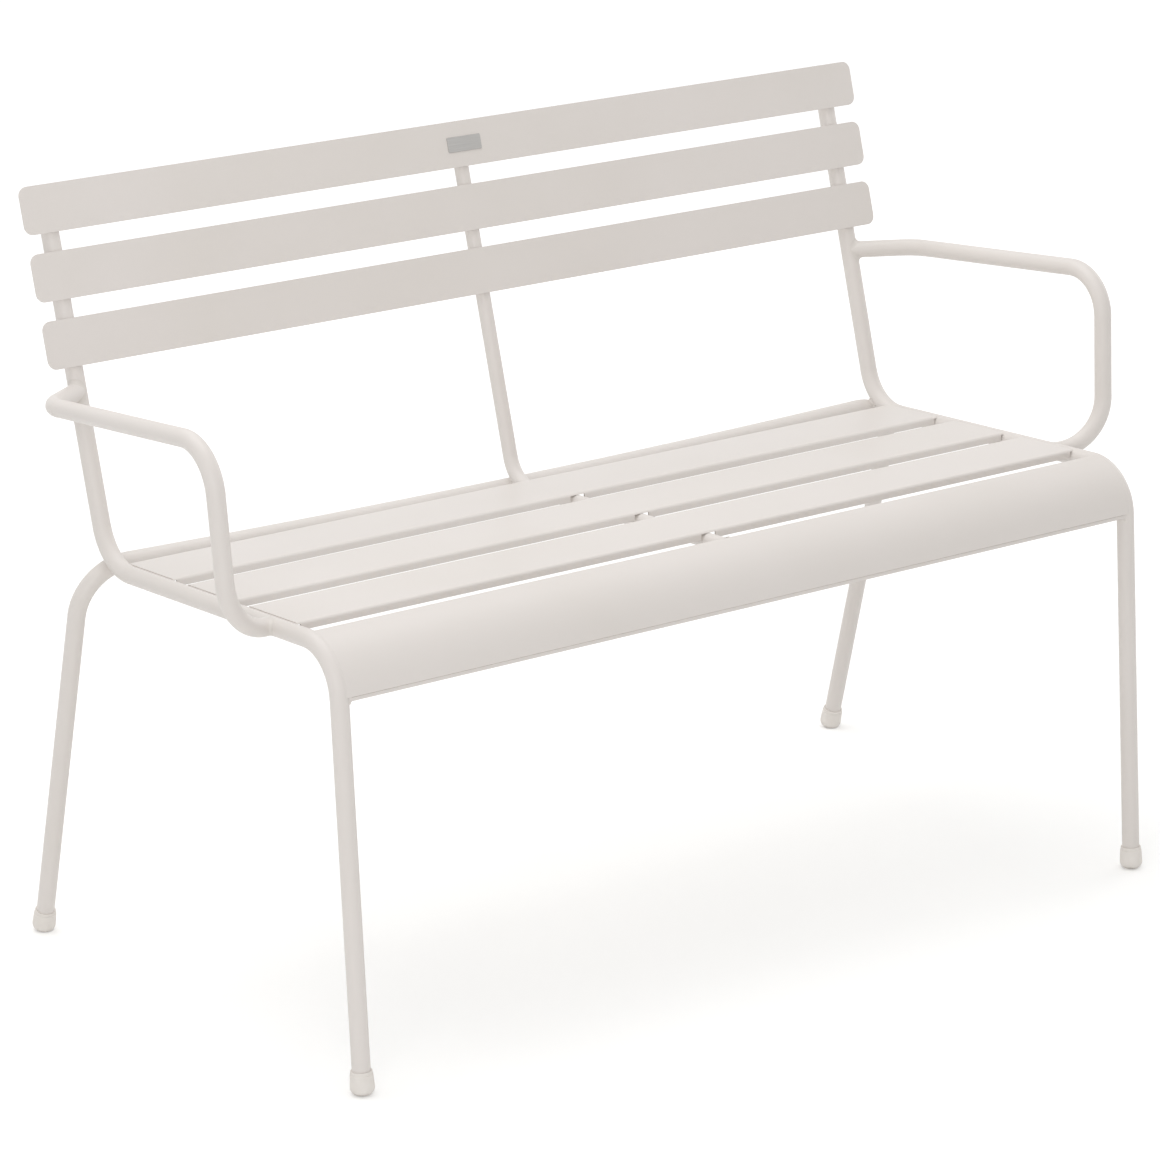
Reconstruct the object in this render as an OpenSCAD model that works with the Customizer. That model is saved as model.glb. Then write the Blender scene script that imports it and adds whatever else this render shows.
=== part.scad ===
// Two-seat garden bench: bent steel tube frames, sheet steel seat and back slats.
// +X is to the right of a person facing the bench, the bench faces -Y, +Z is up.
// The origin is on the floor, under the middle of the bench.

/* [Side frames] */
// Distance between the axes of the left and right side frames
frame_w = 1035; // [900:5:1200]
// Outer diameter of the frame tube
tube_d = 19; // [16:0.5:22]
// Wall of the frame tube
tube_wall = 1.5; // [1:0.1:2.5]
// Height of the corner point where front leg and seat rail meet, on the tube axes
rail_h = 453.5; // [400:1:500]
// Length of the seat rail between its two corner points
rail_len = 419; // [390:1:460]
// Fall of the seat rail to the rear, degrees
seat_slope = 3.5; // [0:0.5:6]
// Lean of the front leg, degrees, the foot stands further forward
leg_lean = 4.6; // [0:0.2:8]
// Lean of the backrest, degrees
back_lean = 16.4; // [10:0.2:20]
// Length of the upright from the rear corner point to its top end
back_len = 391; // [340:1:440]
// Centre-line radius of the front bend
front_bend_r = 52; // [45:1:60]
// Centre-line radius of the rear bend
rear_bend_r = 55; // [48:1:62]

/* [Rear leg frame] */
// How far the axis of a rear leg stands outside that of the side frame
rear_out = 31; // [26:0.5:36]
// Lean of the rear legs, degrees, the feet stand further back
rear_lean = 13.3; // [8:0.1:18]
// Centre-line radius of the top corners of the rear frame
rear_corner_r = 54; // [46:1:62]
// Sag of the cross bar at its middle
bar_bow = 8.5; // [6:0.5:12]
// Where the cross bar lies round the rear bend, degrees from straight below its centre
bar_angle = 38.8; // [34:0.2:44]

/* [Centre stay] */
// Outer diameter of the centre stay
stay_d = 16; // [12:0.5:18]
// Wall of the centre stay
stay_wall = 1.5; // [1:0.1:2.5]

/* [Armrests] */
// How far below the lowest back slat the armrest leaves the upright
arm_below = 25.2; // [22:0.2:34]
// Rise from the armrest's root to its rear bend
arm_rise = 4; // [0:1:10]
// Rise from the armrest's rear bend to its front bend
arm_climb = 33; // [20:1:45]
// How far the rear bend stands outside the side frame's axis
arm_out = 60; // [50:1:75]
// Extra width of the armrest at its front bend
arm_flare = 5; // [0:1:12]
// How far the rear bend lies behind the rear corner point
arm_back = 5; // [0:1:12]
// How far the front bend lies behind the front corner point
arm_set = 115; // [95:1:140]
// Forward rake of the front post from top to bottom
arm_rake = 18; // [10:1:26]
// Narrowing of the front post from top to bottom
arm_tuck = 6; // [0:1:14]
// How far the lower end runs back from the lower bend to the rail
arm_tail = 17; // [8:1:24]
// Centre-line radius of the armrest's rear bend
arm_rear_r = 37; // [30:1:50]
// Centre-line radius of the armrest's front bend
arm_front_r = 50; // [40:1:60]
// Centre-line radius of the armrest's lower bend
arm_low_r = 57; // [45:1:60]

/* [Back slats] */
// How far a back slat reaches past the axis of the side frame
back_slat_over = 34.5; // [28:0.5:50]
// Height of a back slat
back_slat_h = 50; // [40:1:56]
// Pitch of the back slats
back_pitch = 69.6; // [64:0.2:75]
// Distance from the upright's top end down to the middle of the top slat
back_slat_drop = 17; // [14:1:28]
// Corner radius of a back slat
back_slat_r = 10; // [4:1:14]
// Thickness of the back slats
back_slat_t = 2; // [1.5:0.1:4]

/* [Seat] */
// Width of a seat slat
seat_slat_w = 87; // [70:1:90]
// Front face of the front seat slat, from the front corner point
seat_start = 76; // [72:1:82]
// Rear face of the rear seat slat, from the rear corner point
seat_end = 29.6; // [26:0.2:36]
// Sheet thickness of seat slats and front skirt
sheet_t = 2; // [1.2:0.1:2.5]
// Depth of the folded lips
lip_h = 8.5; // [6:0.5:10]
// Outer radius of the folds
fold_r = 3; // [2.5:0.5:5]
// How far the sheet tops lie below the crest of the tubes
sheet_set = 0.3; // [0.2:0.1:0.8]
// How far the ends of the slats reach short of the rail's axis
end_inset = 5.5; // [5:0.1:6.5]
// Free space between a lip's end and the rail
lip_gap = 0.5; // [0.5:0.5:4]
// Free space each side of the stay in a lip's notch
notch_gap = 1.5; // [0.5:0.5:4]

/* [Front skirt] */
// Gap between the front seat slat and the skirt
skirt_gap = 31; // [27:1:35]
// How far the edge strip reaches below the end of the front bend
skirt_past = 2.4; // [0:0.2:4]
// Part of the edge strip that shows below the skirt
strip_show = 4.8; // [4:0.2:8]
// Part of the edge strip that laps behind the skirt
strip_lap = 10; // [8:1:16]
// Thickness of the edge strip
strip_t = 2; // [1.5:0.1:3]

/* [Foot caps and plugs] */
// Largest diameter of a foot cap
cap_d = 25; // [24.5:0.5:30]
// Diameter of a foot cap's collar
collar_d = 21.6; // [21:0.2:24]
// Height of a foot cap
cap_h = 25; // [22:0.5:34]
// Height of the narrow band at the top of a foot cap
band_h = 3.2; // [2:0.2:5]
// Radius of the rounded bottom edge of a foot cap
cap_round = 8.5; // [6:0.5:10]
// Thickness of a foot cap under the tube's end
sole_t = 5; // [3.5:0.5:7]
// Radial clearance of caps and plugs on the tube
cap_fit = 0.1; // [0.05:0.05:0.2]
// Thickness of a plug's head
plug_head = 2; // [1.5:0.5:3]
// Length of a plug's stem
plug_stem = 12; // [8:1:20]

/* [Welds] */
// Root gap that a weld fills between two pieces
weld_gap = 0.3; // [0.2:0.05:0.4]
// Leg of a fillet weld
weld_leg = 4; // [3:0.5:5]
// Length of a weld bead along a slat
weld_len = 24; // [16:1:30]
// Radius of the weld bead where two tubes cross
weld_ball = 7; // [6:0.5:8]
// Height of the weld bead round an armrest's end
arm_bead = 1.8; // [1:0.1:2.5]

/* [Hidden] */

$fn = 64;
eps = 0.01;        // overlap of joined bodies
run_lap = 0.4;     // overlap of a straight run with a bend
bend_swell = 0.1;  // growth of the tube's wall in a bend, outside and inside
far = 100;         // reach of cutting bodies past what they cut
steel = [0.87, 0.85, 0.82];
plastic = [0.93, 0.93, 0.91];
weld_metal = [0.82, 0.80, 0.77];

// Lengths shared by several pieces
tube_r = tube_d / 2;
bore_r = tube_r - tube_wall;
stay_r = stay_d / 2;
rail_x = frame_w / 2;
rear_x = rail_x + rear_out;
cap_r = cap_d / 2;
back_slat_len = frame_w + 2 * back_slat_over;
seat_pitch = (rail_len - seat_start - seat_end - seat_slat_w) / 2;

// Directions in the Y-Z plane, as [x, y, z]
rail_dir = [0, cos(seat_slope), -sin(seat_slope)];
rail_up = [0, sin(seat_slope), cos(seat_slope)];
leg_dir = [0, sin(leg_lean), cos(leg_lean)];
back_dir = [0, sin(back_lean), cos(back_lean)];
back_rear = [0, cos(back_lean), -sin(back_lean)];
rear_leg_dir = [0, sin(rear_lean), -cos(rear_lean)];

// Front and rear corner points of a side frame, measured from the front one
foot_reach = rail_h * tan(leg_lean);
rear_reach = rail_len * rail_dir.y + back_len * back_dir.y + tube_r * back_rear.y
    + plug_head * back_dir.y;
front_y = (foot_reach + cap_r - rear_reach) / 2;
front_corner = [0, front_y, rail_h];
rear_corner = front_corner + rail_len * rail_dir;

// Points and vectors
function unit(v) = v / norm(v);
function turn(p, i) = acos(unit(p[i] - p[i - 1]) * unit(p[i + 1] - p[i]));
function setback(p, r, i) = i == 0 || i == len(p) - 1 ? 0 : r[i] * tan(turn(p, i) / 2);
function across(v) = unit(cross(v, abs(v.x) < 0.8 ? [1, 0, 0] : [0, 1, 0]));
function mirror_x(p) = [for (q = p) [-q.x, q.y, q.z]];

// Centre and axes of the bend at point i: X points to the bend's start, Y along the tube
function bend_y(p, i) = unit(p[i] - p[i - 1]);
function bend_in(p, i) = unit(unit(p[i + 1] - p[i]) - bend_y(p, i));
function bend_centre(p, r, i) = p[i] + bend_in(p, i) * r[i] / cos(turn(p, i) / 2);
function bend_x(p, r, i) = unit(p[i] - bend_y(p, i) * setback(p, r, i) - bend_centre(p, r, i));
function on_bend(p, r, i, a) =
    bend_centre(p, r, i) + r[i] * (bend_x(p, r, i) * cos(a) + bend_y(p, i) * sin(a));

// Crossing of two lines in the Y-Z plane, each a point and a direction
function meet(p, u, q, v) = p + u * ((q.y - p.y) * v.z - (q.z - p.z) * v.y) / (u.y * v.z - u.z * v.y);

// Side frame: foot, front corner, rear corner, top
function side_path(x) = [
    [x, front_y, 0] + [0, -foot_reach, 0] + leg_dir * sole_t,
    [x, front_corner.y, front_corner.z],
    [x, rear_corner.y, rear_corner.z],
    [x, 0, 0] + rear_corner + back_len * back_dir
];
side_radii = [0, front_bend_r, rear_bend_r, 0];
front_bend_c = bend_centre(side_path(0), side_radii, 1);
front_setback = setback(side_path(0), side_radii, 1);
front_turn = turn(side_path(0), 1);
rear_bend_c = bend_centre(side_path(0), side_radii, 2);

// Rear leg frame: an inverted U in a leaning plane, its cross bar sagging in the middle.
// reach is the distance from the centre of the side frame's rear bend to the corner point.
corner_room = 1.05; // length that a corner bend takes of the bar, in radii
bow_span = rear_x - corner_room * rear_corner_r;
bow_point = bar_bow / (1 - bow_span / (2 * rear_x));
bow_r = bow_span * rear_x / bow_point;
function rear_corner_at(reach) = rear_bend_c + reach * [0, sin(bar_angle), -cos(bar_angle)];
function rear_path_at(reach) =
    let (q = rear_corner_at(reach), side = [rear_x, 0, 0],
         leg = rear_leg_dir * (q.z / cos(rear_lean) - sole_t))
    [q - side + leg, q - side, q + bow_point * rear_leg_dir, q + side, q + side + leg];
rear_radii = [0, rear_corner_r, bow_r, rear_corner_r, 0];

// Free distance between the rear frame's corner bend and the side frame's rear bend
corner_steps = 90;
function side_distance(q) = norm([q.x - rail_x, norm(q - [q.x, rear_bend_c.y, rear_bend_c.z]) - rear_bend_r]);
function corner_points(reach) =
    let (p = rear_path_at(reach), full = turn(p, 3))
    [for (k = [0:corner_steps]) on_bend(p, rear_radii, 3, full * k / corner_steps)];
function corner_gap(reach) = min([for (q = corner_points(reach)) side_distance(q)]) - tube_d;
function seat_reach(low, high, n) =
    let (mid = (low + high) / 2)
    n == 0 ? mid : corner_gap(mid) > weld_gap ? seat_reach(low, mid, n - 1) : seat_reach(mid, high, n - 1);
rear_reach_c = seat_reach(rear_bend_r, rear_bend_r + 2 * tube_d, 22);
rear_path = rear_path_at(rear_reach_c);
rear_touch = [for (q = corner_points(rear_reach_c)) if (side_distance(q) - tube_d < weld_gap + 0.005) q][0];

// Centre stay: its upright lies on the back slats, its lower run under the seat slats
web_under = tube_r - sheet_set - sheet_t;
stay_drop = web_under - weld_gap - stay_r;
stay_back_point = rear_corner - back_rear * (tube_r - stay_r);
stay_rail_point = rear_corner + rail_up * stay_drop;
stay_corner = meet(stay_rail_point, rail_dir, stay_back_point, back_dir);
bar_middle = rear_corner_at(rear_reach_c) + bar_bow * rear_leg_dir;
stay_in = unit(back_dir - rail_dir);
stay_half = cos(acos(rail_dir * back_dir) / 2);
bar_off = bar_middle - stay_corner;
touch = stay_r + tube_r + weld_gap;
// The bend's radius is the root that lays the stay on the cross bar
stay_a = 1 / (stay_half * stay_half) - 1;
stay_b = -2 * ((bar_off * stay_in) / stay_half + touch);
stay_c = bar_off * bar_off - touch * touch;
stay_bend_r = (-stay_b + sqrt(stay_b * stay_b - 4 * stay_a * stay_c)) / (2 * stay_a);
stay_len = rail_len - front_setback;
stay_path = [
    stay_corner - rail_dir * (rail_len + far / 2),
    stay_corner,
    stay_corner + back_dir * back_len
];
stay_radii = [0, stay_bend_r, 0];
stay_bend_c = bend_centre(stay_path, stay_radii, 1);

// Armrest, right side: root on the upright, rear bend, front bend, lower bend, rail
arm_root = rear_corner
    + back_dir * (back_len - back_slat_drop - 2 * back_pitch - back_slat_h / 2 - arm_below);
arm_bend_h = arm_root.z + arm_rise;
arm_low_y = front_y + arm_set - arm_rake;
function rail_z(y) = rail_h - (y - front_y) * tan(seat_slope);
arm_path = [
    [rail_x, arm_root.y, arm_root.z],
    [rail_x + arm_out, rear_corner.y + arm_back, arm_bend_h],
    [rail_x + arm_out + arm_flare, front_y + arm_set, arm_bend_h + arm_climb],
    [rail_x + arm_out + arm_flare - arm_tuck, arm_low_y, rail_z(arm_low_y) + arm_rise],
    [rail_x, arm_low_y + arm_tail, rail_z(arm_low_y + arm_tail)]
];
arm_radii = [0, arm_rear_r, arm_front_r, arm_low_r, 0];

// Skirt: its arc shares the centre of the side frame's front bend
skirt_r = front_bend_r + tube_r - sheet_set;
skirt_top = 90 - seat_slope;
skirt_end = skirt_top + front_turn + skirt_past / skirt_r * 180 / PI;
skirt_start = skirt_top + asin((front_setback - (seat_start - skirt_gap) + fold_r) / skirt_r);
skirt_edge = skirt_end - strip_show / skirt_r * 180 / PI;
strip_start = skirt_edge - strip_lap / skirt_r * 180 / PI;

// ---- shared shapes ----

// Places children with +Z along direction d at point p
module along(p, d) {
    z = unit(d);
    x = across(z);
    y = cross(z, x);
    multmatrix([
        [x.x, y.x, z.x, p.x],
        [x.y, y.y, z.y, p.y],
        [x.z, y.z, z.z, p.z],
        [0, 0, 0, 1]
    ]) children();
}

// Tube section: outer radius r, bore radius b, solid when b is 0
module section(r, b) {
    difference() {
        circle(r);
        if (b > 0) circle(b);
    }
}

// Straight run i of a bent tube, reaching a little into the bends at its ends
module run(p, radii, i, r, b = 0) {
    d = unit(p[i + 1] - p[i]);
    from = p[i] + d * (i == 0 ? 0 : setback(p, radii, i) - run_lap);
    to = p[i + 1] - d * (i == len(p) - 2 ? 0 : setback(p, radii, i + 1) - run_lap);
    along(from, d) linear_extrude(norm(to - from)) section(r, b);
}

// Bend at point i of a bent tube, its wall swollen by bend_swell on both sides;
// past carries it on beyond its own turn, in degrees
module bend(p, radii, i, r, b = 0, past = 0) {
    c = bend_centre(p, radii, i);
    x = bend_x(p, radii, i);
    y = bend_y(p, i);
    z = cross(x, y);
    multmatrix([
        [x.x, y.x, z.x, c.x],
        [x.y, y.y, z.y, c.y],
        [x.z, y.z, z.z, c.z],
        [0, 0, 0, 1]
    ]) rotate_extrude(angle = turn(p, i) + past) translate([radii[i], 0])
        section(r + bend_swell, b > 0 ? b - bend_swell : 0);
}

// Bent tube through the points p with the bend radii radii
module bent_tube(p, radii, r, b = 0) {
    for (i = [0:len(p) - 2]) run(p, radii, i, r, b);
    for (i = [1:len(p) - 2]) bend(p, radii, i, r, b);
}

// Frames of reference: Y along the rail and Z off the seat, Z up the back, profiles in Y-Z
module on_seat() translate(front_corner) rotate([-seat_slope, 0, 0]) children();
module on_back() translate(rear_corner) rotate([-back_lean, 0, 0]) children();
module on_front_bend() translate(front_bend_c) rotate([90, 0, 90]) children();

// Part of a ring between two angles less than 180 degrees apart
module ring_sector(inner, outer, from, to) {
    intersection() {
        difference() {
            circle(outer);
            circle(inner);
        }
        polygon([
            [0, 0],
            2 * outer * [cos(from), sin(from)],
            2 * outer * [cos((from + to) / 2), sin((from + to) / 2)],
            2 * outer * [cos(to), sin(to)]
        ]);
    }
}

// Fold at the end of a sheet whose top lies on Y = 0 and ends at X = 0, the lip hangs down
module fold() {
    translate([0, -fold_r]) {
        ring_sector(fold_r - sheet_t, fold_r, 0, 90);
        translate([fold_r - sheet_t, fold_r - lip_h]) square([sheet_t, lip_h - fold_r]);
    }
}

module side_solid(x) bent_tube(side_path(x), side_radii, tube_r);

// ---- pieces ----

module side_frame(side) {
    color(steel) bent_tube(side_path(side * rail_x), side_radii, tube_r, bore_r);
}

module rear_leg_frame() {
    color(steel) bent_tube(rear_path, rear_radii, tube_r, bore_r);
}

// Everything in front of the rear face of the skirt's folded lip, less a gap behind it
module front_of_lip(gap) {
    on_front_bend() linear_extrude(2 * far, center = true) rotate(skirt_start - 90)
        translate([fold_r + gap - 2 * far, -far]) square([2 * far, 3 * far]);
}

// The stay's front end is cut square to the skirt's lip, which it meets
module centre_stay() {
    color(steel) difference() {
        bent_tube(stay_path, stay_radii, stay_r, stay_r - stay_wall);
        front_of_lip(weld_gap);
    }
}

// Both ends of an armrest are coped to the tube that they are welded to
module armrest(side) {
    color(steel) mirror([side < 0 ? 1 : 0, 0, 0]) difference() {
        bent_tube(arm_path, arm_radii, tube_r, bore_r);
        for (i = [1, 2]) run(side_path(rail_x), side_radii, i, tube_r + weld_gap);
    }
}

// Flat bar with rounded corners, k counts down from the top slat
module back_slat(k) {
    inset = back_slat_r;
    color(steel) on_back()
        translate([0, -tube_r - weld_gap, back_len - back_slat_drop - k * back_pitch])
        rotate([90, 0, 0]) linear_extrude(back_slat_t) {
            square([back_slat_len, back_slat_h - 2 * inset], center = true);
            square([back_slat_len - 2 * inset, back_slat_h], center = true);
            for (x = [-1, 1], y = [-1, 1])
                translate([x * (back_slat_len / 2 - inset), y * (back_slat_h / 2 - inset)])
                circle(inset);
        }
}

// Section of a seat slat: a web with a lip folded down at each edge
module slat_section() {
    translate([fold_r, -sheet_t]) square([seat_slat_w - 2 * fold_r, sheet_t]);
    translate([seat_slat_w - fold_r, 0]) fold();
    translate([fold_r, 0]) mirror([1, 0]) fold();
}

// Folded seat slat, k counts from the front
module seat_slat(k) {
    half = rail_x - end_inset;
    lip_half = rail_x - tube_r - lip_gap;
    start = seat_start + k * seat_pitch;
    color(steel) difference() {
        on_seat() translate([0, start, tube_r - sheet_set]) difference() {
            rotate([90, 0, 90]) linear_extrude(2 * half, center = true) slat_section();
            for (side = [-1, 1])
                translate([side * (lip_half + far) - far, -far, -far - sheet_t])
                cube([2 * far, seat_slat_w + 2 * far, far]);
            translate([-stay_r - notch_gap, -far, -far - sheet_t])
                cube([stay_d + 2 * notch_gap, seat_slat_w + 2 * far, far]);
        }
        for (side = [-1, 1]) side_solid(side * rail_x);
        if (k == 2) bent_tube(stay_path, stay_radii, stay_r + weld_gap);
    }
}

// Curved sheet over the front bends, folded down at its rear edge, its ends lie on the tubes
module front_skirt() {
    skirt_inset = 1;
    color(steel) difference() {
        on_front_bend() linear_extrude(2 * (rail_x - skirt_inset), center = true)
            rotate(skirt_start - 90) {
                ring_sector(skirt_r - sheet_t, skirt_r, 90, 90 + skirt_edge - skirt_start);
                translate([0, skirt_r]) fold();
            }
        for (side = [-1, 1]) side_solid(side * rail_x);
    }
}

module skirt_edge_strip() {
    back = skirt_r - sheet_t;
    color(steel) difference() {
        on_front_bend() linear_extrude(2 * (rail_x - end_inset), center = true)
            ring_sector(back - strip_t, back, strip_start, skirt_end);
        for (side = [-1, 1]) side_solid(side * rail_x);
    }
}

// Half section of a foot cap: rounded bottom, tapered body, and a band behind a small ledge
module cap_section() {
    sole_dip = 0.5;  // how far the rounding reaches under the sole
    flare_in = 0.3;  // how far inside the rounding the taper starts
    ledge = 0.5;
    waist = cap_round - sole_dip;
    intersection() {
        union() {
            translate([cap_r - cap_round, waist]) circle(cap_round);
            translate([0, -sole_dip]) square([cap_r - cap_round, cap_round]);
            polygon([[0, waist], [cap_r - flare_in, waist],
                     [collar_d / 2 + ledge, cap_h - band_h], [0, cap_h - band_h]]);
            square([collar_d / 2, cap_h]);
        }
        translate([0, -far]) square([far, 2 * far]);
    }
}

// Plastic cap pressed over the end of a leg, cut flat where it stands on the floor
module foot_cap(foot, dir) {
    color(plastic) difference() {
        along(foot, dir) difference() {
            rotate_extrude() cap_section();
            translate([0, 0, sole_t]) cylinder(h = cap_h, r = tube_r + cap_fit);
        }
        translate([foot.x - far, foot.y - far, -2 * far]) cube(2 * far);
    }
}

module front_cap(side) foot_cap([side * rail_x, front_y - foot_reach, 0], leg_dir);

module rear_cap(side) {
    corner = rear_corner_at(rear_reach_c);
    foot = corner + rear_leg_dir * (corner.z / cos(rear_lean));
    foot_cap([side * rear_x, foot.y, 0], -rear_leg_dir);
}

// Plug in the top end of an upright: head on the tube's end, stem in the bore
module plug(end, r, bore) {
    color(plastic) along(end, back_dir) {
        cylinder(h = plug_head / 2, r = r);
        translate([0, 0, plug_head / 2]) cylinder(h = plug_head / 2, r1 = r, r2 = r - plug_head / 2);
        translate([0, 0, -plug_stem]) cylinder(h = plug_stem, r = bore - cap_fit);
    }
}

// ---- welds ----

// Bead between a flat sheet and a tube that lies on it, seen along the tube.
// The tube's centre is at the origin and the sheet at Y = -r - weld_gap.
module flat_bead(r, length) {
    low = -r - weld_gap;
    wide = sqrt(r * r - pow(r - weld_leg / 2, 2)) + weld_leg / 4;
    linear_extrude(length, center = true) difference() {
        polygon([[-wide, low], [wide, low], [wide - weld_leg / 2, low + weld_leg],
                 [-wide + weld_leg / 2, low + weld_leg]]);
        circle(r);
    }
}

// Bead in the corner between the side of a tube and the underside of a sheet at Y = web_under
module corner_bead() {
    meet_x = sqrt(tube_r * tube_r - web_under * web_under);
    low_x = sqrt(tube_r * tube_r - pow(web_under - weld_leg, 2));
    difference() {
        polygon([[meet_x - weld_gap, web_under], [meet_x + weld_leg, web_under],
                 [low_x - weld_gap, web_under - weld_leg]]);
        circle(tube_r);
    }
}

module back_slat_welds() {
    color(weld_metal) on_back() for (k = [0:2])
        translate([0, 0, back_len - back_slat_drop - k * back_pitch]) {
            for (side = [-1, 1]) translate([side * rail_x, 0, 0]) flat_bead(tube_r, weld_len);
            translate([0, stay_r - tube_r, 0]) flat_bead(stay_r, weld_len);
        }
}

module seat_slat_welds() {
    inner = seat_slat_w - 4 * fold_r;
    color(weld_metal) on_seat() for (k = [0:2], side = [-1, 1], end = [0, 1])
        translate([side * rail_x, seat_start + k * seat_pitch + 2 * fold_r + end * (inner - weld_len), 0])
        rotate([90, 0, 0]) mirror([side > 0 ? 1 : 0, 0, 0])
        translate([0, 0, -weld_len]) linear_extrude(weld_len) corner_bead();
}

// Beads under the seat slats, and a bead round the stay's front end on the skirt's lip
module stay_welds() {
    color(weld_metal) {
        on_seat() for (k = [0:2])
            translate([0, seat_start + k * seat_pitch + seat_slat_w / 2 - fold_r, stay_drop])
            rotate([-90, 0, 0]) flat_bead(stay_r, weld_len);
        difference() {
            on_seat() translate([0, seat_start - skirt_gap, stay_drop]) rotate([-90, 0, 0])
                cylinder(h = weld_leg, r1 = stay_r + weld_leg / 2, r2 = stay_r + weld_leg / 8);
            on_seat() translate([0, 0, stay_drop]) rotate([-90, 0, 0])
                cylinder(h = seat_start, r = stay_r);
            front_of_lip(0);
        }
    }
}

// Concave bead in the corner under the edge strip, beside the leg, which lies at X < 0
module hollow_bead(leg) {
    difference() {
        translate([-tube_r / 2, 0]) square([tube_r / 2 + leg, leg]);
        translate([leg, leg]) circle(leg);
    }
}

// Beads along the skirt's underside, and one under each end of the edge strip
module skirt_welds() {
    strip_back = skirt_r - sheet_t - strip_t;
    strip_leg = 0.75 * weld_leg;
    leg_side = sqrt(tube_r * tube_r - pow(strip_back - front_bend_r, 2));
    color(weld_metal) for (side = [-1, 1]) {
        translate([side * rail_x, 0, 0]) on_front_bend()
            mirror([0, 0, side > 0 ? 1 : 0]) rotate(skirt_start)
            rotate_extrude(angle = strip_start - skirt_start)
            translate([front_bend_r, 0]) rotate(90) mirror([0, 1]) corner_bead();
        difference() {
            translate([side * (rail_x - leg_side), 0, 0]) on_front_bend()
                mirror([0, 0, side > 0 ? 1 : 0]) rotate(skirt_end)
                translate([strip_back, 0, 0]) rotate([0, -90, 0])
                mirror([0, 0, 1]) linear_extrude(strip_t) hollow_bead(strip_leg);
            run(side_path(side * rail_x), side_radii, 0, tube_r);
        }
    }
}

// The finer facets keep these thin beads true where two round walls nearly touch
module rear_frame_welds() {
    $fn = 240;
    side_point = [rail_x, rear_bend_c.y, rear_bend_c.z]
        + rear_bend_r * unit([0, rear_touch.y - rear_bend_c.y, rear_touch.z - rear_bend_c.z]);
    side_mid = (rear_touch + side_point) / 2;
    bar_mid = stay_bend_c + (stay_bend_r + stay_r + weld_gap / 2) * unit(bar_middle - stay_bend_c);
    color(weld_metal) {
        for (side = [-1, 1]) mirror([side < 0 ? 1 : 0, 0, 0]) difference() {
            translate(side_mid) sphere(weld_ball);
            bend(side_path(rail_x), side_radii, 2, tube_r);
            bend(rear_path, rear_radii, 3, tube_r);
        }
        difference() {
            translate(bar_mid) sphere(weld_ball);
            bend(stay_path, stay_radii, 1, stay_r);
            along(bar_middle, [1, 0, 0]) cylinder(h = 2 * stay_d, r = tube_r, center = true);
        }
    }
}

// Tapered bead round an armrest's end where it meets run bar of the side frame,
// the children are the end of the armrest itself
module arm_end_weld(from, dir, bar) {
    start = tube_r / 2;  // distance of the bead's start from the bar's axis
    difference() {
        along(from, dir) translate([0, 0, start])
            cylinder(h = tube_r, r1 = tube_r + 2 * arm_bead, r2 = tube_r + arm_bead / 4);
        run(side_path(rail_x), side_radii, bar, tube_r);
        children();
    }
}

module armrest_welds() {
    bend_past = 12;
    color(weld_metal) for (side = [-1, 1]) mirror([side < 0 ? 1 : 0, 0, 0]) {
        arm_end_weld(arm_path[0], arm_path[1] - arm_path[0], 2) run(arm_path, arm_radii, 0, tube_r);
        arm_end_weld(arm_path[4], arm_path[3] - arm_path[4], 1)
            bend(arm_path, arm_radii, 3, tube_r, past = bend_past);
    }
}

side_frame(-1);  // side_frame_left
side_frame(1);  // side_frame_right
rear_leg_frame();
centre_stay();
armrest(-1);  // armrest_left
armrest(1);  // armrest_right
back_slat(0);  // back_slat_top
back_slat(1);  // back_slat_middle
back_slat(2);  // back_slat_bottom
seat_slat(2);  // seat_slat_rear
seat_slat(1);  // seat_slat_middle
seat_slat(0);  // seat_slat_front
front_skirt();
skirt_edge_strip();
front_cap(-1);  // foot_cap_front_left
front_cap(1);  // foot_cap_front_right
rear_cap(-1);  // foot_cap_rear_left
rear_cap(1);  // foot_cap_rear_right
plug(side_path(-rail_x)[3], tube_r, bore_r);  // upright_plug_left
plug(side_path(rail_x)[3], tube_r, bore_r);  // upright_plug_right
plug(stay_path[2], stay_r, stay_r - stay_wall);  // stay_plug
back_slat_welds();
seat_slat_welds();
stay_welds();
skirt_welds();
rear_frame_welds();
armrest_welds();
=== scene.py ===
# Garden bench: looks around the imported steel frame. Units are metres, in the frame's own axes.
import math

import bmesh
import bpy
import numpy as np
from mathutils import Matrix, Vector


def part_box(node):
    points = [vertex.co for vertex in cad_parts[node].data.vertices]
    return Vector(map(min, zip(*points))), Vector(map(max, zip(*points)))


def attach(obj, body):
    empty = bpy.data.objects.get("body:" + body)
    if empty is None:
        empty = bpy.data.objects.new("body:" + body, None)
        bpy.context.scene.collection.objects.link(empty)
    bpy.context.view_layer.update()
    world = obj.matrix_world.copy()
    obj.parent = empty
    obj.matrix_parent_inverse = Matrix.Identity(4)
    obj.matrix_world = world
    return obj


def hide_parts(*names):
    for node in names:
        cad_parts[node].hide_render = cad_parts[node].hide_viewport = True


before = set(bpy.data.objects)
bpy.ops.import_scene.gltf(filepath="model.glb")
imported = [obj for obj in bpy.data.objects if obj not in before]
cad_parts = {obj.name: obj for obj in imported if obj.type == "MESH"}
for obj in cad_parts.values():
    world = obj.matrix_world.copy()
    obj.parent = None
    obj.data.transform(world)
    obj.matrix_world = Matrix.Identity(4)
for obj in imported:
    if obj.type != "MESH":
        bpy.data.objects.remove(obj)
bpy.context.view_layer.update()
print("frame loaded:", len(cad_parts), "nodes")


# colours and nodes

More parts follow.
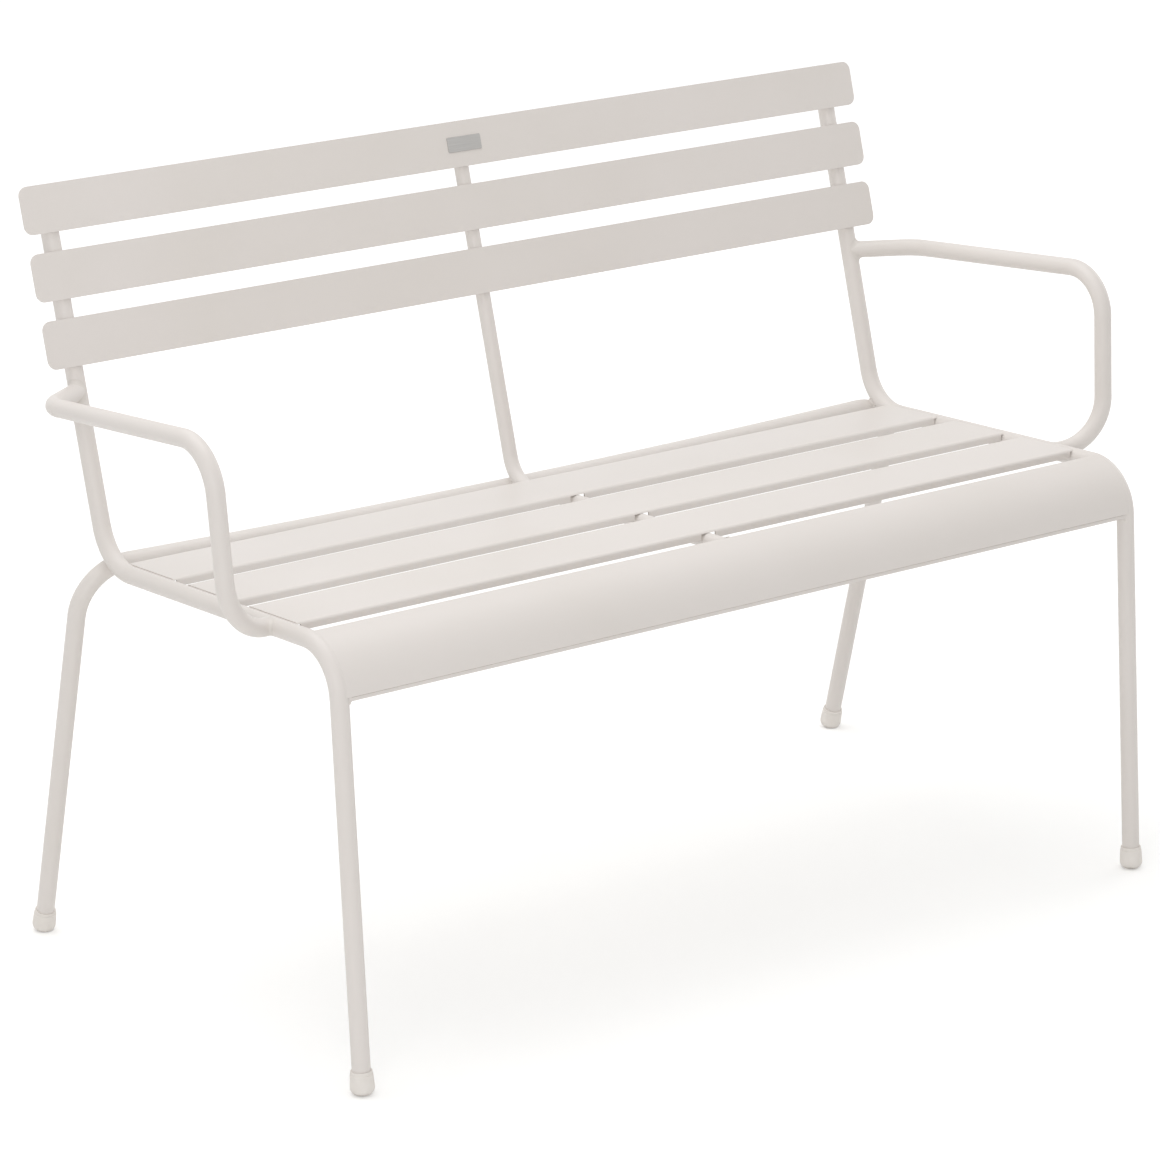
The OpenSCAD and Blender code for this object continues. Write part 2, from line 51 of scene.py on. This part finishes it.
def hexColour(text):
    # sRGB hex to the linear colour that a shader takes
    parts = [int(text[i:i + 2], 16) / 255 for i in (1, 3, 5)]
    return [p / 12.92 if p <= 0.04045 else ((p + 0.055) / 1.055) ** 2.4 for p in parts] + [1]


def addNode(tree, kind, settings=None, inputs=None):
    # settings are the node's own attributes, inputs are values or sockets to link from
    node = tree.nodes.new(kind)
    for key, value in (settings or {}).items():
        setattr(node, key, value)
    for key, value in (inputs or {}).items():
        if isinstance(value, bpy.types.NodeSocket):
            tree.links.new(value, node.inputs[key])
        else:
            node.inputs[key].default_value = value
    return node


def startMaterial(name):
    # an empty material with its output node and object coordinates
    material = bpy.data.materials.new(name)
    material.use_nodes = True
    tree = material.node_tree
    tree.nodes.clear()
    output = addNode(tree, "ShaderNodeOutputMaterial")
    coords = addNode(tree, "ShaderNodeTexCoord").outputs["Object"]
    return material, tree, output, coords


def perMetre(size):
    # noise scale that gives features of this size in millimetres
    return 1000 / size


# materials

coat = {
    "colour": "#dfd9d5",      # warm off-white
    "thinColour": "#d9d3cd",  # where the powder lies thinner
    "weldColour": "#d6d0ca",  # the coat thins over the crest of a bead
    # the two seam colours below are painted shade: darker tones for the thin shadow line where the skirt's
    # edge meets the strip
    "seamShadeColour": "#c8c2bb",  # painted shade: dark enough to stand for the shadow line under the skirt's edge
    "seamShadeDarker": "#c0b9b1",
    "cloud": 160,             # mm, slow change of tone over the sheet
    "peel": 3.2,              # mm, orange peel left by the flowing powder, drawn coarse enough to show
    "grain": 0.9,             # mm, fine tooth of the satin surface, drawn coarse enough to show
    "roughness": 0.42,
    "satinRange": (-0.05, 0.07),  # change of roughness with the grain
    "peelDepth": 0.0002,
    "grainDepth": 0.00005,
    "tubeBump": 0.25,
    "weldBump": 0.5,
    "seamShadeBump": 0.2,
    "index": 1.5,
}


def powderCoat(name, colour, thinColour, bump):
    # polyester powder coat baked on steel: gives the eye a satin, slightly pebbled skin with soft highlights
    material, tree, output, coords = startMaterial(name)
    cloud = addNode(tree, "ShaderNodeTexNoise", inputs={
        "Vector": coords, "Scale": perMetre(coat["cloud"]), "Detail": 2.0})
    peel = addNode(tree, "ShaderNodeTexNoise", inputs={
        "Vector": coords, "Scale": perMetre(coat["peel"]), "Detail": 1.0})
    grain = addNode(tree, "ShaderNodeTexNoise", inputs={
        "Vector": coords, "Scale": perMetre(coat["grain"]), "Detail": 2.0})
    tone = addNode(tree, "ShaderNodeMixRGB", inputs={
        "Fac": cloud.outputs["Fac"], "Color1": hexColour(colour), "Color2": hexColour(thinColour)})
    satin = addNode(tree, "ShaderNodeMapRange", inputs={
        "Value": grain.outputs["Fac"], "To Min": coat["roughness"] + coat["satinRange"][0],
        "To Max": coat["roughness"] + coat["satinRange"][1]})
    coarse = addNode(tree, "ShaderNodeBump", inputs={
        "Height": peel.outputs["Fac"], "Strength": bump, "Distance": coat["peelDepth"]})
    fine = addNode(tree, "ShaderNodeBump", inputs={
        "Height": grain.outputs["Fac"], "Strength": bump, "Distance": coat["grainDepth"],
        "Normal": coarse.outputs["Normal"]})
    shader = addNode(tree, "ShaderNodeBsdfPrincipled", inputs={
        "Base Color": tone.outputs["Color"], "Roughness": satin.outputs["Result"],
        "Normal": fine.outputs["Normal"], "IOR": coat["index"]})
    tree.links.new(shader.outputs["BSDF"], output.inputs["Surface"])
    return material


capFinish = {
    "colour": "#e9e4df",
    "scuffed": "#ddd7d0",
    "blotch": 14,   # mm, scuffs from the floor
    "grain": 0.6,   # mm, spark-eroded mould texture
    "grainDepth": 0.00005,
    "bump": 0.3,
    "roughness": 0.55,
    "index": 1.51,
}


def mouldedPlastic(name):
    # low-density polyethylene, injection moulded: looks waxy and a little duller than the coat
    material, tree, output, coords = startMaterial(name)
    grain = addNode(tree, "ShaderNodeTexNoise", inputs={
        "Vector": coords, "Scale": perMetre(capFinish["grain"]), "Detail": 2.0})
    blotch = addNode(tree, "ShaderNodeTexNoise", inputs={
        "Vector": coords, "Scale": perMetre(capFinish["blotch"]), "Detail": 3.0})
    tone = addNode(tree, "ShaderNodeMixRGB", inputs={
        "Fac": blotch.outputs["Fac"], "Color1": hexColour(capFinish["colour"]),
        "Color2": hexColour(capFinish["scuffed"])})
    bump = addNode(tree, "ShaderNodeBump", inputs={
        "Height": grain.outputs["Fac"], "Strength": capFinish["bump"], "Distance": capFinish["grainDepth"]})
    shader = addNode(tree, "ShaderNodeBsdfPrincipled", inputs={
        "Base Color": tone.outputs["Color"], "Roughness": capFinish["roughness"],
        "Normal": bump.outputs["Normal"], "IOR": capFinish["index"]})
    tree.links.new(shader.outputs["BSDF"], output.inputs["Surface"])
    return material


plateFinish = {
    "colour": "#c3c1be",
    "dark": "#a3a19f",
    "brushLength": 30,   # mm
    "brushWidth": 0.35,  # mm, drawn coarse enough to show
    "brushDepth": 0.00003,
    "bump": 0.4,
    "roughness": 0.38,
}


def brushedAluminium(name):
    # aluminium sheet, brushed along its length and clear anodised: fine streaks and a long soft glint
    material, tree, output, coords = startMaterial(name)
    stretch = addNode(tree, "ShaderNodeMapping", inputs={
        "Vector": coords, "Scale": (perMetre(plateFinish["brushLength"]), perMetre(plateFinish["brushWidth"]),
                                    perMetre(plateFinish["brushWidth"]))})
    streaks = addNode(tree, "ShaderNodeTexNoise", inputs={
        "Vector": stretch.outputs["Vector"], "Scale": 1.0, "Detail": 3.0})
    tone = addNode(tree, "ShaderNodeMixRGB", inputs={
        "Fac": streaks.outputs["Fac"], "Color1": hexColour(plateFinish["colour"]),
        "Color2": hexColour(plateFinish["dark"])})
    bump = addNode(tree, "ShaderNodeBump", inputs={
        "Height": streaks.outputs["Fac"], "Strength": plateFinish["bump"],
        "Distance": plateFinish["brushDepth"]})
    shader = addNode(tree, "ShaderNodeBsdfPrincipled", inputs={
        "Base Color": tone.outputs["Color"], "Metallic": 1.0, "Roughness": plateFinish["roughness"],
        "Normal": bump.outputs["Normal"]})
    tree.links.new(shader.outputs["BSDF"], output.inputs["Surface"])
    return material


coatMaterial = powderCoat("steelPowderCoated", coat["colour"], coat["thinColour"], coat["tubeBump"])
weldMaterial = powderCoat("steelWeldPowderCoated", coat["thinColour"], coat["weldColour"], coat["weldBump"])
# painted shade: a darker coat for the seam bead, which stands in for the shadow line under the skirt's edge
seamShadeMaterial = powderCoat("steelPaintedSeamShade", coat["seamShadeColour"], coat["seamShadeDarker"],
                             coat["seamShadeBump"])
capMaterial = mouldedPlastic("polyethyleneInjectionMoulded")
plateMaterial = brushedAluminium("aluminiumBrushedAnodised")

for name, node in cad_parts.items():
    if "cap" in name or "plug" in name:
        finish = capMaterial
    elif "welds" in name:
        finish = weldMaterial
    else:
        finish = coatMaterial
    node.data.materials.clear()
    node.data.materials.append(finish)
print("materials ready")


# meshes

def meshFromGrids(name, grids, material, closed=(False, True)):
    # each grid of points, rows by columns by three, becomes quads; closed joins its last row or column to
    # the first. Points that meet at a pole are merged, and the faces are turned outwards.
    points, quads, start = [], [], 0
    for grid in grids:
        rows, columns = grid.shape[:2]
        i, j = np.meshgrid(np.arange(rows - (not closed[0])), np.arange(columns - (not closed[1])),
                           indexing="ij")
        nextRow, nextColumn = (i + 1) % rows, (j + 1) % columns
        quads.append(start + np.stack([i * columns + j, nextRow * columns + j, nextRow * columns + nextColumn,
                                       i * columns + nextColumn], axis=-1).reshape(-1, 4))
        points.append(grid.reshape(-1, 3))
        start += rows * columns
    mesh = bpy.data.meshes.new(name)
    mesh.from_pydata(np.concatenate(points).tolist(), [], np.concatenate(quads).tolist())
    shell = bmesh.new()
    shell.from_mesh(mesh)
    bmesh.ops.remove_doubles(shell, verts=shell.verts, dist=1e-7)
    bmesh.ops.recalc_face_normals(shell, faces=shell.faces)
    shell.to_mesh(mesh)
    shell.free()
    mesh.polygons.foreach_set("use_smooth", np.ones(len(mesh.polygons), bool))
    mesh.materials.append(material)
    piece = bpy.data.objects.new(name, mesh)
    bpy.context.scene.collection.objects.link(piece)
    return piece


def dressNode(piece, slot=None, *nodes):
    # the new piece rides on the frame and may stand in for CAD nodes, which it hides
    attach(piece, "root")
    if nodes:
        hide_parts(*nodes)


plate = {
    "width": 0.044,
    "height": 0.0165,
    "corner": 0.0012,
    "thickness": 0.0009,
    "rim": 0.0004,        # radius of the rolled edge
    "right": 0.0018,      # of the bench's middle
    "up": -0.0002,        # from the middle of the slat's face
    "lean": 16.4,         # degrees, as the backrest
    "slatSheet": 0.002,
    "backInset": 0.003,   # first ring of the back, in from the edge
    "faceInsets": (0.0015, 0.004),  # rings that keep the face flat behind the rim
    "cornerSteps": 8,
    "rimSteps": 5,
}


def roundedOutline(width, height, corner, steps):
    # four quarter circles of the corner radius, one centred near each corner, joined by straight sides
    angles = np.linspace(0, math.pi / 2, steps)
    centres = np.array([(1, 1), (-1, 1), (-1, -1), (1, -1)]) * (width / 2 - corner, height / 2 - corner)
    turned = angles[None, :] + np.arange(4)[:, None] * math.pi / 2
    ring = centres[:, None, :] + corner * np.stack([np.cos(turned), np.sin(turned)], axis=-1)
    return ring.reshape(-1, 2)


def barePlate():
    # the outline shrunk ring by ring: from the middle of its back out to the edge, up the edge, over the
    # rolled rim and in across the flat face, then the whole laid on the slat's leaning front face
    outline = roundedOutline(plate["width"], plate["height"], plate["corner"], plate["cornerSteps"])
    swing = np.linspace(0, math.pi / 2, plate["rimSteps"])
    rim, lift = plate["rim"] * (1 - np.cos(swing)), plate["rim"] * np.sin(swing)
    flat = plate["thickness"] - plate["rim"]
    half = plate["height"] / 2
    insets = np.concatenate([[half, plate["backInset"], 0], rim, plate["faceInsets"], [half]])
    rises = np.concatenate([[0, 0, 0], flat + lift, [plate["thickness"]] * 3])
    across = outline[None, :, 0] * (1 - 2 * insets / plate["width"])[:, None]
    up = outline[None, :, 1] * (1 - 2 * insets / plate["height"])[:, None]
    out = np.repeat(rises[:, None], len(outline), axis=1)

    low, high = (np.array(corner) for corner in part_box("back_slat_top"))
    lean = math.radians(plate["lean"])
    sheetY, sheetZ = plate["slatSheet"] * math.cos(lean), plate["slatSheet"] * math.sin(lean)
    middle = np.array([plate["right"], (low[1] + high[1] - sheetY) / 2, (low[2] + high[2] + sheetZ) / 2])
    upDir = np.array([0, math.sin(lean), math.cos(lean)])
    outDir = np.array([0, -math.cos(lean), math.sin(lean)])
    middle = middle + plate["up"] * upDir
    points = (middle + across[..., None] * np.array([1, 0, 0]) + up[..., None] * upDir
              + out[..., None] * outDir)
    return meshFromGrids("bare_plate", [points], plateMaterial)


dressNode(barePlate())

cap = {
    "radius": 0.0125,
    "round": 0.0085,      # radius of the bottom edge
    "dip": 0.0005,        # how far the rounding reaches under the floor before it is cut flat
    "collar": 0.0111,     # outer radius of the narrow band
    "ledge": 0.0006,
    "height": 0.025,
    "band": 0.0034,       # height of the narrow band
    "bore": 0.00945,      # grips the leg
    "sole": 0.005,
    "edge": 0.00025,      # softened edges
    "ribs": 20,           # radial ribs of the tread
    "ribDepth": 0.0013,
    "stepsPerRib": 8,
    "ribSharpness": 2,    # power of the cosine between ribs
    "roundSteps": 40,
    "taperSteps": 6,
    "treadTop": 58,       # degrees up the rounded bottom where the tread ends
    "treadFade": 8,       # degrees over which it runs out
    "ringAt": (32, 47),   # degrees, ring grooves across the ribs
    "ringWidth": 3.5,     # degrees
    "ringDepth": 0.0007,
    "lean": {"front": 4.6, "rear": -13.3},  # degrees, as the legs
}


def footCap(row, side):
    # a half section turned about the leg: rounded bottom, tapered body, ledge, narrow band, bore. The
    # rounded bottom is sunk along its own normal between the ribs, as a power of a cosine round the leg, and
    # by ring grooves; then the cap is leaned as the leg, cut flat at the floor and put where the CAD cap is.
    waist = cap["round"] - cap["dip"]
    swing = np.linspace(0, math.pi / 2, cap["roundSteps"])
    inner = cap["radius"] - cap["round"]
    ledgeZ = cap["height"] - cap["band"]
    ledgeR = cap["collar"] + cap["ledge"]
    taper = np.linspace(0, 1, cap["taperSteps"] + 1)[1:]
    edge, hard = cap["edge"], cap["edge"] / 6
    rest = np.array([
        (ledgeR - edge / 3, ledgeZ + edge / 3), (ledgeR - edge, ledgeZ + edge / 2),
        (cap["collar"] + hard, ledgeZ + edge / 2), (cap["collar"], ledgeZ + edge / 2 + hard),
        (cap["collar"], ledgeZ + edge), (cap["collar"], cap["height"] - edge),
        (cap["collar"] - edge / 3, cap["height"] - edge / 3), (cap["collar"] - edge, cap["height"]),
        (cap["bore"] + edge, cap["height"]), (cap["bore"], cap["height"] - edge),
        (cap["bore"], cap["sole"] + hard), (cap["bore"] - hard, cap["sole"]), (0, cap["sole"])])
    radii = np.concatenate([[0, inner / 2], inner + cap["round"] * np.sin(swing),
                            cap["radius"] + (ledgeR - cap["radius"]) * taper, rest[:, 0]])
    heights = np.concatenate([[-cap["dip"]] * 2, waist - cap["round"] * np.cos(swing),
                              waist + (ledgeZ - waist) * taper, rest[:, 1]])
    degrees = np.degrees(swing)
    tread = np.clip((cap["treadTop"] - degrees) / cap["treadFade"], 0, 1)
    rings = sum(np.clip(1 - abs(degrees - at) / cap["ringWidth"], 0, 1) for at in cap["ringAt"])
    angles = np.linspace(0, 2 * math.pi, cap["ribs"] * cap["stepsPerRib"], endpoint=False)
    groove = (0.5 + 0.5 * np.cos(cap["ribs"] * angles)) ** cap["ribSharpness"]
    sunk = np.zeros((len(radii), len(angles)))
    sunk[2:2 + len(swing)] = np.maximum(cap["ribDepth"] * tread[:, None] * groove[None, :],
                                        cap["ringDepth"] * rings[:, None])
    normalR, normalZ = np.zeros(len(radii)), np.zeros(len(radii))
    normalR[2:2 + len(swing)], normalZ[2:2 + len(swing)] = np.sin(swing), -np.cos(swing)
    r = radii[:, None] - sunk * normalR[:, None]
    h = heights[:, None] - sunk * normalZ[:, None]
    lean = math.radians(cap["lean"][row])
    x = r * np.cos(angles)
    y = r * np.sin(angles) * math.cos(lean) + h * math.sin(lean)
    z = np.maximum(h * math.cos(lean) - r * np.sin(angles) * math.sin(lean), 0)
    low, high = (np.array(corner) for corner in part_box(f"foot_cap_{row}_{side}"))
    x = x + (low[0] + high[0]) / 2
    y = y + (low[1] + high[1]) / 2 - (y.min() + y.max()) / 2
    return meshFromGrids(f"foot_cap_tread_{row}_{side}", [np.stack([x, y, z], axis=-1)], capMaterial)


for row in ("front", "rear"):
    for side in ("left", "right"):
        dressNode(footCap(row, side), "cap_plastic", f"foot_cap_{row}_{side}")
print("plate and foot caps ready")


armFillet = {
    "tube": 0.0095,       # radius of armrests and side frames
    "leg": 0.0045,        # of the fillet, on both tubes
    "full": 0.22,         # how far the bead fills its corner
    "root": 0.0015,       # how deep the bead goes into the tubes
    "search": (-0.004, 0.03),  # metres along the armrest in which its line leaves the bar
    "halvings": 40,
    "along": 0.08,        # how far the foot on the bar leans back along the armrest
    "narrowest": 0.12,    # share of the leg left where the walls run into one another
    "around": 72,
    "across": (0, 0.03, 0.14, 0.3, 0.5, 0.7, 0.86, 0.97, 1),
    # right side: the armrest's points and bend radii, then a point and direction of each bar it meets
    "path": ((0.5175, 0.225687, 0.60501), (0.5775, 0.178566, 0.60901), (0.5825, -0.129652, 0.64201),
             (0.5765, -0.147652, 0.451567), (0.5175, -0.130652, 0.446527)),
    "bends": (0, 0.037, 0.050, 0.057, 0),
    "upright": ((0.5175, 0.173566, 0.427921), (0.5175, 0.283962, 0.803012)),
    "rail": ((0.5175, -0.244652, 0.4535), (0.5175, 0.173566, 0.427921)),
}


def unit(v):
    return v / np.linalg.norm(v, axis=-1, keepdims=True)


def filletRing(end, corner, beyond, bendRadius, barStart, barEnd):
    # round the armrest's end: every line on its surface is followed, straight and then round the first bend,
    # to the point where it leaves the bar. There a hollow curve joins a point a little further along the
    # armrest to a point a little further round the bar, with its middle drawn towards the corner; the
    # section is closed by a point inside both tubes. Where the walls run into one another it narrows.
    r = armFillet["tube"]
    away = unit(corner - end)
    turned = unit(beyond - corner)
    inward = unit(turned - away * (turned @ away))
    halfTurn = math.acos(np.clip(away @ turned, -1, 1)) / 2
    straight = np.linalg.norm(corner - end) - bendRadius * math.tan(halfTurn)
    bar = unit(barEnd - barStart)
    side = np.cross(away, inward)
    theta = np.linspace(0, 2 * math.pi, armFillet["around"], endpoint=False)

    def surface(t):
        # point, outward direction and running direction at distance t along the centre line
        swing = np.maximum(t - straight, 0)[:, None] / bendRadius
        run = np.minimum(t, straight)[:, None]
        tangent = np.cos(swing) * away + np.sin(swing) * inward
        centre = end + run * away + bendRadius * (np.sin(swing) * away + (1 - np.cos(swing)) * inward)
        out = np.cos(theta)[:, None] * side + np.sin(theta)[:, None] * np.cross(tangent, side)
        return centre + r * out, out, tangent

    def fromBar(points):
        offset = points - barStart
        return offset - (offset @ bar)[:, None] * bar

    low, high = (np.full(len(theta), edge) for edge in armFillet["search"])
    for halving in range(armFillet["halvings"]):
        middle = (low + high) / 2
        outside = np.linalg.norm(fromBar(surface(middle)[0]), axis=1) > r
        low, high = np.where(outside, low, middle), np.where(outside, middle, high)
    root, out, tangent = surface(high)
    barOut = unit(fromBar(root))
    across = out - (out * barOut).sum(1, keepdims=True) * barOut
    sharp = np.linalg.norm(across, axis=1)
    lengthwise = tangent - (tangent * barOut).sum(1, keepdims=True) * barOut
    onBar = unit(across - armFillet["along"] * lengthwise)
    leg = armFillet["leg"] * np.sqrt(np.clip(sharp, armFillet["narrowest"], 1))
    onArm = surface(high + leg)[0]
    reach = root + leg[:, None] * onBar
    onTube = reach + (r - np.linalg.norm(fromBar(reach), axis=1))[:, None] * unit(fromBar(reach))
    pull = root + armFillet["full"] * ((onArm + onTube) / 2 - root)
    s = np.array(armFillet["across"])[:, None, None]
    curve = (1 - s) ** 2 * onArm + 2 * s * (1 - s) * pull + s ** 2 * onTube
    inside = root - armFillet["root"] * unit(out + barOut)
    return np.concatenate([curve, inside[None]])


def armrestFillets():
    path = np.array(armFillet["path"])
    upright, rail = np.array(armFillet["upright"]), np.array(armFillet["rail"])
    rings = [filletRing(path[0], path[1], path[2], armFillet["bends"][1], *upright),
             filletRing(path[4], path[3], path[2], armFillet["bends"][3], *rail)]
    rings += [ring * (-1, 1, 1) for ring in rings]
    return meshFromGrids("armrest_fillets", rings, weldMaterial, closed=(True, True))


dressNode(armrestFillets(), "coated_weld", "armrest_welds")
print("armrest fillets ready")


seam = {
    "centre": (-0.196911, 0.398483),  # y and z of the front bends' centre
    "radius": 0.0592,     # of the strip's front face, which the skirt's edge lies on
    "edge": 173.5,        # degrees from the rear, where the skirt ends
    "wide": 0.0007,
    "deep": 0.0003,
    "half": 0.5079,       # half length, up to the legs
    "steps": 9,
}


def skirtShadeSeam():
    # half an ellipse laid in the corner between the skirt's edge and the strip, carried from leg to leg; its
    # darker coat is painted shade, the shadow line in that corner
    swing = np.linspace(0, math.pi, seam["steps"])
    along = math.radians(seam["edge"]) + seam["wide"] * (0.5 - 0.5 * np.cos(swing)) / seam["radius"]
    out = seam["radius"] + seam["deep"] * np.sin(swing)
    along = np.append(along, along.mean())
    out = np.append(out, seam["radius"] - seam["deep"])
    y = seam["centre"][0] + out * np.cos(along)
    z = seam["centre"][1] + out * np.sin(along)
    ends = [(x, shrink) for x, shrink in ((-1, 0), (-1, 1), (1, 1), (1, 0))]
    rows = [np.stack([np.full(len(y), x * seam["half"]), y.mean() + shrink * (y - y.mean()),
                      z.mean() + shrink * (z - z.mean())], axis=-1) for x, shrink in ends]
    return meshFromGrids("skirt_seam_painted_shade", [np.stack(rows)], seamShadeMaterial)


dressNode(skirtShadeSeam(), "coated_sheet")


# stage, light and camera

studio = {
    "floorColour": "#f6f6f5",
    "floorLift": (0.2, 0.42),   # how much whiter the camera sees the floor, near the bench and far from it
    "floorReach": (0.9, 3.2),   # metres from the bench's middle, where the lift starts and stops growing
    "worldStrength": 0.68,
    "floorHalf": 30,      # metres
    "floorRoughness": 0.9,
    "floorSpecular": 0.1,
    "aimHeight": 0.4,
    "softboxes": {          # watts, metres
        "overhead": {"power": 33, "size": 2.6, "place": (-0.3, 0.55, 2.9)},
        "frontLeft": {"power": 18, "size": 1.6, "place": (-2.4, -2.4, 1.4)},
        "right": {"power": 10, "size": 1.6, "place": (3.2, 0.2, 1.4)},
    },
}

floorMaterial, floorTree, floorOutput, floorCoords = startMaterial("matteFloor")
floorPath = addNode(floorTree, "ShaderNodeLightPath")
floorSeen = addNode(floorTree, "ShaderNodeMath", {"operation": "MAXIMUM"}, {
    0: floorPath.outputs["Is Camera Ray"], 1: floorPath.outputs["Is Glossy Ray"]})
floorAway = addNode(floorTree, "ShaderNodeVectorMath", {"operation": "LENGTH"}, {0: floorCoords})
floorGrow = addNode(floorTree, "ShaderNodeMapRange", {"interpolation_type": "SMOOTHSTEP"}, {
    "Value": floorAway.outputs["Value"], "From Min": studio["floorReach"][0],
    "From Max": studio["floorReach"][1], "To Min": studio["floorLift"][0], "To Max": studio["floorLift"][1]})
floorLift = addNode(floorTree, "ShaderNodeMath", {"operation": "MULTIPLY"}, {
    0: floorSeen.outputs["Value"], 1: floorGrow.outputs["Result"]})
floorShader = addNode(floorTree, "ShaderNodeBsdfPrincipled", inputs={
    "Base Color": hexColour(studio["floorColour"]), "Roughness": studio["floorRoughness"],
    "Specular IOR Level": studio["floorSpecular"], "Emission Color": (1, 1, 1, 1),
    "Emission Strength": floorLift.outputs["Value"]})
floorTree.links.new(floorShader.outputs["BSDF"], floorOutput.inputs["Surface"])
floorMesh = bpy.data.meshes.new("floor")
reach = studio["floorHalf"]
floorMesh.from_pydata([(-reach, -reach, 0), (reach, -reach, 0), (reach, reach, 0), (-reach, reach, 0)],
                      [], [(0, 1, 2, 3)])
floorMesh.materials.append(floorMaterial)
floor = bpy.data.objects.new("floor", floorMesh)
bpy.context.scene.collection.objects.link(floor)

world = bpy.data.worlds.new("studioWorld")
bpy.context.scene.world = world
world.use_nodes = True
worldTree = world.node_tree
worldTree.nodes.clear()
worldOutput = addNode(worldTree, "ShaderNodeOutputWorld")
lightPath = addNode(worldTree, "ShaderNodeLightPath")
seen = addNode(worldTree, "ShaderNodeMath", {"operation": "MAXIMUM"}, {
    0: lightPath.outputs["Is Camera Ray"], 1: lightPath.outputs["Is Glossy Ray"]})
strength = addNode(worldTree, "ShaderNodeMapRange", inputs={
    "Value": seen.outputs["Value"], "To Min": studio["worldStrength"], "To Max": 1.0})
backdrop = addNode(worldTree, "ShaderNodeBackground", inputs={
    "Color": (1, 1, 1, 1), "Strength": strength.outputs["Result"]})
worldTree.links.new(backdrop.outputs["Background"], worldOutput.inputs["Surface"])

for name, box in studio["softboxes"].items():
    light = bpy.data.lights.new(name, "AREA")
    light.energy = box["power"]
    light.size = box["size"]
    lamp = bpy.data.objects.new(name, light)
    lamp.location = box["place"]
    aim = Vector((0, 0, studio["aimHeight"])) - lamp.location
    lamp.rotation_euler = aim.to_track_quat("-Z", "Y").to_euler()
    bpy.context.scene.collection.objects.link(lamp)

view = {
    "azimuth": -37.022,
    "elevation": 17.813,
    "roll": 0.243,
    "distance": 4.8446,
    "target": (-0.1218, -0.10865, 0.4123),
    "lens": 145.249,
    "sensor": 36.0,
}


def aimCamera():
    # the camera looks at the target from an azimuth and elevation, then rolls a little about its own axis
    azimuth, elevation, roll = (math.radians(view[k]) for k in ("azimuth", "elevation", "roll"))
    forward = Vector((-math.sin(azimuth) * math.cos(elevation), math.cos(azimuth) * math.cos(elevation),
                      -math.sin(elevation)))
    right = forward.cross(Vector((0, 0, 1))).normalized()
    up = right.cross(forward)
    rolledRight = math.cos(roll) * right + math.sin(roll) * up
    rolledUp = -math.sin(roll) * right + math.cos(roll) * up
    place = Vector(view["target"]) - forward * view["distance"]
    cameraData = bpy.data.cameras.new("camera")
    cameraData.lens = view["lens"]
    cameraData.sensor_width = view["sensor"]
    camera = bpy.data.objects.new("camera", cameraData)
    turn = Matrix((rolledRight, rolledUp, -forward)).transposed().to_4x4()
    camera.matrix_world = Matrix.Translation(place) @ turn
    bpy.context.scene.collection.objects.link(camera)
    bpy.context.scene.camera = camera
    print("camera at", [round(c, 4) for c in place])


aimCamera()
bpy.context.scene.view_settings.view_transform = "Standard"
